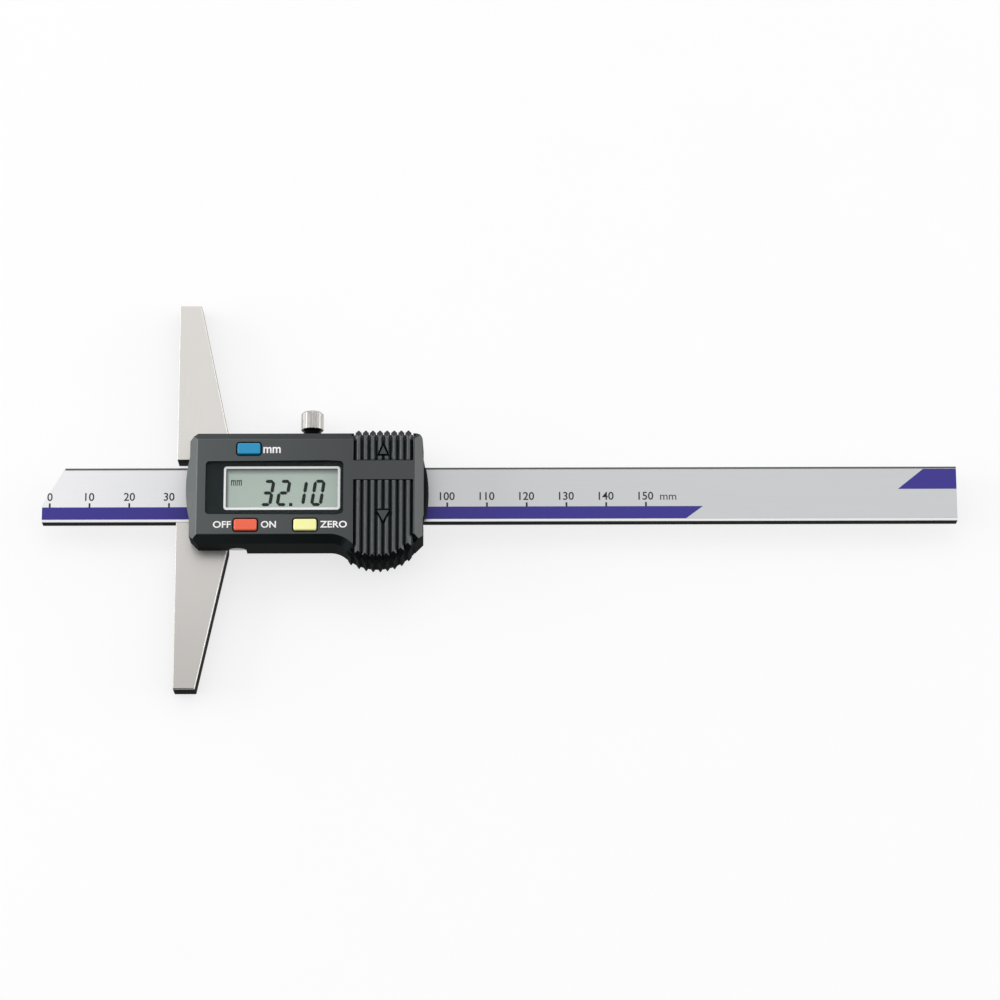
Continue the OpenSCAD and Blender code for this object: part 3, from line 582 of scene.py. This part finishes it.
def display_glass(name, color):
    """Grey-green display, in the shade of its frame along the far and the left edge."""
    shader = Shader.of_material(name)
    fine = shader.noise(shader.place(), 3000.0, 2.0)
    far = shader.along("Y", SHADE_Y[1] * MM, SHADE_Y[0] * MM)
    left = shader.along("X", FACE_X + SHADE_X[0] * MM, FACE_X + SHADE_X[1] * MM)
    lit = shader.blend(far.least(left), shade(color, SHADE_TONE), color)
    shader.set(
        Base_Color=shader.blend(fine, lit, shader.scaled(lit, 1.03)),
        Roughness=shader.between(fine, 0.3, 0.36),
        Specular_IOR_Level=0.3,
        Normal=shader.bump(fine, 0.02, MOULD_DEPTH),
    )
    return shader.owner


def clear_lens(name):
    """Clear acrylic: sees through to the display, with a gloss that grows at a slant."""
    shader = Shader.of_material(name)
    haze = shader.noise(shader.place(), 300.0, 2.0)
    shader.set(
        Base_Color=shader.blend(haze, srgb(90, 98, 96), srgb(104, 110, 108)),
        Roughness=0.04,
        Alpha=shader.between(haze, 0.04, 0.05),
    )
    return shader.owner


def make_materials():
    white = srgb(246, 246, 246)
    return {
        # The base's ground steel is painted darker towards its near end: painted shade
        "ground_steel": steel("ground_steel", srgb(222, 219, 215), (4000, 120, 4000),
                              shade_fade=("Y", -50 * MM, 10 * MM, srgb(196, 193, 189)), shade_walls=True),
        "beam_steel": steel("beam_steel", srgb(240, 240, 240), (120, 5000, 5000), shade_walls=True),
        "frame_steel": steel("frame_steel", srgb(185, 185, 184), (150, 3500, 3500), (0.35, 0.5)),
        "screw_steel": steel("screw_steel", srgb(200, 199, 197), (700, 700, 700)),
        "dark_screw": steel("dark_screw", srgb(95, 95, 98), (700, 700, 700), (0.35, 0.5)),
        # The knob's neck is painted near black: painted shade under its head
        "knurled_steel": steel("knurled_steel", srgb(184, 181, 178), (900, 60, 900),
                               shade_fade=("Y", KNOB_START_Y, KNOB_START_Y + 0.1 * MM, srgb(24, 24, 25))),
        "cell_steel": steel("cell_steel", srgb(206, 206, 204), (900, 900, 900), (0.32, 0.42)),
        "bronze": steel("bronze", srgb(196, 150, 90), (40, 900, 900)),
        "contact": steel("contact", srgb(214, 184, 120), (500, 500, 500), (0.2, 0.3)),
        "scale_silver": silver_film("scale_silver", srgb(238, 238, 240), srgb(204, 205, 207)),
        "circuit": moulded("circuit", srgb(30, 92, 52), (0.3, 0.4), 2500.0, 0.1),
        "scale_circuit": moulded("scale_circuit", srgb(64, 78, 62), (0.6, 0.7), 2500.0, 0.1, 0.3),
        "casing": moulded_casing("casing", srgb(54, 60, 60), srgb(15, 24, 26)),
        "potting": moulded("potting", srgb(14, 14, 15), (0.5, 0.65), 1500.0, 0.2),
        "switch_plastic": moulded("switch_plastic", srgb(190, 190, 184), (0.4, 0.5)),
        "display": display_glass("display", srgb(183, 198, 189)),
        "connector_rubber": moulded("connector_rubber", srgb(214, 150, 160), (0.7, 0.8)),
        "window": clear_lens("window"),
        "blue_button": moulded("blue_button", srgb(8, 133, 178), (0.3, 0.38), 6000.0, 0.05),
        "red_button": moulded("red_button", srgb(227, 94, 64), (0.3, 0.38), 6000.0, 0.05),
        "yellow_button": moulded("yellow_button", srgb(238, 238, 162), (0.3, 0.38), 6000.0, 0.05),
        "blue_print": moulded("blue_print", srgb(56, 48, 138), (0.4, 0.46), 5000.0, 0.05, 0.3, 1.06),
        "black_print": moulded("black_print", srgb(38, 38, 42), (0.45, 0.5), 5000.0, 0.05, 0.3),
        # Painted shade along the beam's far edge
        "edge_shade": moulded("edge_shade", srgb(86, 86, 88), (0.5, 0.6), 5000.0, 0.05, 0.3),
        "white_print": moulded("white_print", white, (0.45, 0.5), 5000.0, 0.03, 0.4, 1.0),
        "window_mask": moulded("window_mask", srgb(24, 32, 34), (0.4, 0.46), 5000.0, 0.02, 0.1),
        "segment": moulded("segment", srgb(26, 34, 32), (0.4, 0.45), 5000.0, 0.02, 0.1),
    }


def dress_frame(materials):
    """Gives every node of the frame its own material, or else the one of its slot."""
    for row in frame["record"]["subparts"]:
        mesh = frame["nodes"][row["node"]].data
        mesh.materials.clear()
        mesh.materials.append(materials.get(row["node"], materials[row["material_slot"]]))


def round_edges(body, width, shortest, lowest, limited):
    """Rounds the outer edges of a merged solid that are long and high enough."""
    chosen = [
        edge for edge in body.edges
        if edge.is_convex and edge.calc_face_angle(0) > CRISP_ANGLE
        and edge.calc_length() > shortest * MM
        and min(vert.co.z for vert in edge.verts) > lowest * MM
    ]
    bmesh.ops.bevel(body, geom=chosen, affect="EDGES", offset_type="OFFSET", offset=width * MM,
                    segments=ROUND_SEGMENTS, profile=0.5, material=-1, clamp_overlap=limited)
    for face in body.faces:
        face.smooth = True
    for edge in body.edges:
        edge.smooth = edge.calc_face_angle(0) < CRISP_ANGLE


def soften(node, rounding):
    """Replaces a node by a merged copy whose edges are rounded."""
    source = frame["nodes"][node]
    body = bmesh.new()
    body.from_mesh(source.data)
    bmesh.ops.remove_doubles(body, verts=body.verts, dist=MERGE_DISTANCE)
    bmesh.ops.dissolve_limit(body, angle_limit=FLAT_ANGLE, verts=body.verts, edges=body.edges)
    round_edges(body, *rounding)
    mesh = bpy.data.meshes.new(node + "_shape")
    body.to_mesh(mesh)
    body.free()
    holder = bpy.data.objects.new(node + "_holder", mesh)
    bpy.context.scene.collection.objects.link(holder)
    leveling = holder.modifiers.new("leveling", "WEIGHTED_NORMAL")
    leveling.keep_sharp = True
    leveling.weight = FACE_WEIGHT
    bpy.context.view_layer.update()
    graph = bpy.context.evaluated_depsgraph_get()
    finished = bpy.data.meshes.new_from_object(holder.evaluated_get(graph))
    bpy.data.objects.remove(holder)
    finished.materials.clear()
    finished.materials.append(source.data.materials[0])
    piece = bpy.data.objects.new(node + "_rounded", finished)
    bpy.context.scene.collection.objects.link(piece)
    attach(piece, source["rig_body"])
    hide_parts(node)


def finish_piece(name, body, rider, material):
    """Turns a bmesh in the frame's coordinates into a piece that rides on a body."""
    mesh = bpy.data.meshes.new(name)
    body.to_mesh(mesh)
    body.free()
    mesh.materials.append(material)
    piece = bpy.data.objects.new(name, mesh)
    bpy.context.scene.collection.objects.link(piece)
    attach(piece, rider)


def raise_outline(body, points, low_z, thickness):
    """Adds a flat plate with the given outline, its underside at low_z."""
    bottom = body.faces.new([body.verts.new((p.x, p.y, low_z)) for p in points])
    bottom.normal_update()
    if bottom.normal.z > 0:
        bottom.normal_flip()
    extruded = bmesh.ops.extrude_face_region(body, geom=[bottom], use_keep_orig=True)["geom"]
    moved = [item for item in extruded if isinstance(item, bmesh.types.BMVert)]
    bmesh.ops.translate(body, verts=moved, vec=(0, 0, thickness))
    bmesh.ops.recalc_face_normals(body, faces=body.faces)


def rectangle(low_x, low_y, high_x, high_y):
    return [at(low_x, low_y), at(high_x, low_y), at(high_x, high_y), at(low_x, high_y)]


def rounded(low, high, radius):
    """Outline of a rectangle with round corners, counter-clockwise from its lower left."""
    points = []
    corners = (
        (low[0], low[1], 180), (high[0], low[1], 270), (high[0], high[1], 0), (low[0], high[1], 90),
    )
    for x, y, start in corners:
        centre_x = x + radius if x == low[0] else x - radius
        centre_y = y + radius if y == low[1] else y - radius
        for step in range(CORNER_STEPS + 1):
            angle = math.radians(start + 90 * step / CORNER_STEPS)
            points.append(at(centre_x + radius * math.cos(angle), centre_y + radius * math.sin(angle)))
    return points


def text_outline(body, text, left, base, height, low_z, width=None, weight=0.0, centred=False):
    """Adds lettering as raised print. left is its left end, or its middle where centred."""
    curve = bpy.data.curves.new("lettering", "FONT")
    curve.body = text
    curve.size = 1.0
    curve.offset = weight
    curve.extrude = 0.5
    curve.resolution_u = LETTER_STEPS
    holder = bpy.data.objects.new("lettering", curve)
    bpy.context.scene.collection.objects.link(holder)
    bpy.context.view_layer.update()
    mesh = bpy.data.meshes.new_from_object(holder.evaluated_get(bpy.context.evaluated_depsgraph_get()))
    bpy.data.objects.remove(holder)
    xs = [v.co.x for v in mesh.vertices]
    ys = [v.co.y for v in mesh.vertices]
    tall = height * MM / (max(ys) - min(ys))
    wide = width * MM / (max(xs) - min(xs)) if width else tall
    start = at(left, base, low_z)
    shift = -(max(xs) - min(xs)) * wide / 2 if centred else 0.0
    for vertex in mesh.vertices:
        vertex.co = (
            start.x + shift + (vertex.co.x - min(xs)) * wide,
            start.y + (vertex.co.y - min(ys)) * tall,
            start.z + (vertex.co.z + 0.5) * PRINT_T,
        )
    body.from_mesh(mesh)
    bpy.data.meshes.remove(mesh)


def make_scale_print(materials):
    """Ticks and numbers of the scale, the stripe and the block, all printed on the film."""
    print_z = LABEL_Z + PRINT_LIFT
    ink = bmesh.new()
    for reading in range(0, SCALE_LAST + 1, SCALE_STEP):
        x = SCALE_ZERO_X + reading
        tick = rectangle(x - TICK_W / 2, TICK_Y[0], x + TICK_W / 2, TICK_Y[1])
        raise_outline(ink, tick, print_z, PRINT_T)
        text_outline(ink, str(reading), x, NUMBER_Y, NUMBER_H, print_z, weight=NUMBER_WEIGHT, centred=True)
    unit_x = SCALE_ZERO_X + SCALE_LAST + SCALE_UNIT_GAP
    text_outline(ink, "mm", unit_x, NUMBER_Y, NUMBER_H * SCALE_UNIT_PART, print_z)
    finish_piece("scale_print", ink, "beam", materials["black_print"])

    label_low, label_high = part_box("scale_label")
    tip = (label_low.x - FACE_X) / MM
    end = (label_high.x - FACE_X) / MM
    far = label_high.y / MM
    stripe = bmesh.new()
    raise_outline(stripe, [
        at(tip, STRIPE_Y[0]), at(STRIPE_END_X[0], STRIPE_Y[0]),
        at(STRIPE_END_X[1], STRIPE_Y[1]), at(tip, STRIPE_Y[1]),
    ], print_z, PRINT_T)
    finish_piece("blue_stripe", stripe, "beam", materials["blue_print"])
    block = bmesh.new()
    raise_outline(block, [
        at(BLOCK_X[0], BLOCK_Y), at(end, BLOCK_Y), at(end, far), at(BLOCK_X[1], far),
    ], print_z, PRINT_T)
    finish_piece("blue_block", block, "beam", materials["blue_print"])


def make_edge_line(materials):
    """Dark line on the far rail, a painted shade of the beam's far edge, from behind the slanted tip to
    the other end.
    """
    low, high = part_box("beam")
    start = (low.x - FACE_X) / MM + EDGE_SHADE_START
    end = (high.x - FACE_X) / MM
    line = bmesh.new()
    strip = rectangle(start, EDGE_SHADE_Y[0], end, EDGE_SHADE_Y[1])
    raise_outline(line, strip, high.z + PRINT_LIFT, PRINT_T)
    finish_piece("rail_edge_shade", line, "beam", materials["edge_shade"])


def make_lip(materials):
    """Dark strip under the head's rounded end, just above the film: a painted shadow."""
    inner = []
    outer = []
    for step in range(SHADOW_STRIP_STEPS + 1):
        y = SHADOW_STRIP_HALF_W * (2 * step / SHADOW_STRIP_STEPS - 1)
        x = HEAD_END_X - HEAD_END_R + math.sqrt(HEAD_END_R ** 2 - y ** 2)
        inner.append(at(x, y))
        outer.append(at(x + SHADOW_STRIP_DEPTH, y))
    # A dark sheet where the head's shadow falls on the film: painted shadow
    shadow_strip = bmesh.new()
    raise_outline(shadow_strip, outer + inner[::-1], SHADOW_STRIP_Z[0], SHADOW_STRIP_Z[1] - SHADOW_STRIP_Z[0])
    finish_piece("film_shadow_strip", shadow_strip, "slider", materials["potting"])


def make_face_lettering(materials):
    """Words and unit mark printed on the display face."""
    for name, text, left, right, base, height in FACE_TEXTS:
        letters = bmesh.new()
        text_outline(letters, text, left, base, height, DISPLAY_FACE_Z + PRINT_LIFT,
                     width=right - left, weight=LETTER_WEIGHT)
        finish_piece("lettering_" + name, letters, "slider", materials["white_print"])


def frame_ring(body, outer, inner, low_z, thickness):
    """Flat ring between two outlines that have the same number of points."""
    loops = []
    for points in (outer, inner):
        verts = [body.verts.new((p.x, p.y, low_z)) for p in points]
        edges = [body.edges.new((verts[i], verts[(i + 1) % len(verts)])) for i in range(len(verts))]
        loops.append(edges)
    faces = bmesh.ops.bridge_loops(body, edges=loops[0] + loops[1])["faces"]
    extruded = bmesh.ops.extrude_face_region(body, geom=faces, use_keep_orig=True)["geom"]
    moved = [item for item in extruded if isinstance(item, bmesh.types.BMVert)]
    bmesh.ops.translate(body, verts=moved, vec=(0, 0, thickness))
    bmesh.ops.recalc_face_normals(body, faces=body.faces)


def make_window_print(materials):
    """Black border and white line, printed on the underside of the lens."""
    low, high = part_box("display_window")
    inset = WINDOW_MASK_INSET
    outer = rounded(((low.x - FACE_X) / MM + inset, low.y / MM + inset),
                    ((high.x - FACE_X) / MM - inset, high.y / MM - inset), WINDOW_MASK_R)
    line_outer = rounded(*WINDOW_FRAME, WINDOW_FRAME_R)
    line_inner = rounded(*WINDOW_VIEW, WINDOW_VIEW_R)
    mask = bmesh.new()
    frame_ring(mask, outer, line_outer, WINDOW_LOW_Z + PRINT_LIFT, PRINT_T)
    finish_piece("window_mask", mask, "slider", materials["window_mask"])
    line = bmesh.new()
    frame_ring(line, line_outer, line_inner, WINDOW_LOW_Z + PRINT_LIFT, PRINT_T)
    finish_piece("window_line", line, "slider", materials["white_print"])


def segment_bar(body, start, end, low_z):
    """One segment between two points of the cell, with pointed ends."""
    along = (end - start).normalized()
    across = Vector((-along.y, along.x, 0)) * DIGIT_STROKE / 2 * MM
    inset = along * DIGIT_STROKE / 2 * MM
    gap = along * DIGIT_GAP * MM
    start, end = start + gap, end - gap
    raise_outline(body, [
        start, start + inset - across, end - inset - across,
        end, end - inset + across, start + inset + across,
    ], low_z, PRINT_T)


def make_reading(materials):
    """The figures 32.10 and the unit mark on the display glass."""
    low_z = GLASS_TOP_Z + PRINT_LIFT
    tall = DIGIT_Y[1] - DIGIT_Y[0]
    reading = bmesh.new()

    def corner(left, across, up):
        return at(left + across * DIGIT_W + up * tall * DIGIT_SLANT, DIGIT_Y[0] + up * tall)

    for figure, left in DIGIT_CELLS:
        for segment in SEGMENTS[figure]:
            first, second = SEGMENT_ENDS[segment]
            segment_bar(reading, corner(left, *first), corner(left, *second), low_z)
    low = DIGIT_Y[0] - DIGIT_STROKE / 2
    point = rectangle(POINT_X, low, POINT_X + DIGIT_STROKE, low + DIGIT_STROKE)
    raise_outline(reading, point, low_z, PRINT_T)
    left, base, height, width, weight = UNIT_MARK
    text_outline(reading, "mm", left, base, height, low_z, width=width, weight=weight)
    finish_piece("reading", reading, "slider", materials["segment"])


make_camera()
make_studio()
materials = make_materials()
dress_frame(materials)
for rounded_node, rounding in ROUNDED_NODES.items():
    soften(rounded_node, rounding)
make_scale_print(materials)
make_edge_line(materials)
make_lip(materials)
make_face_lettering(materials)
make_window_print(materials)
make_reading(materials)
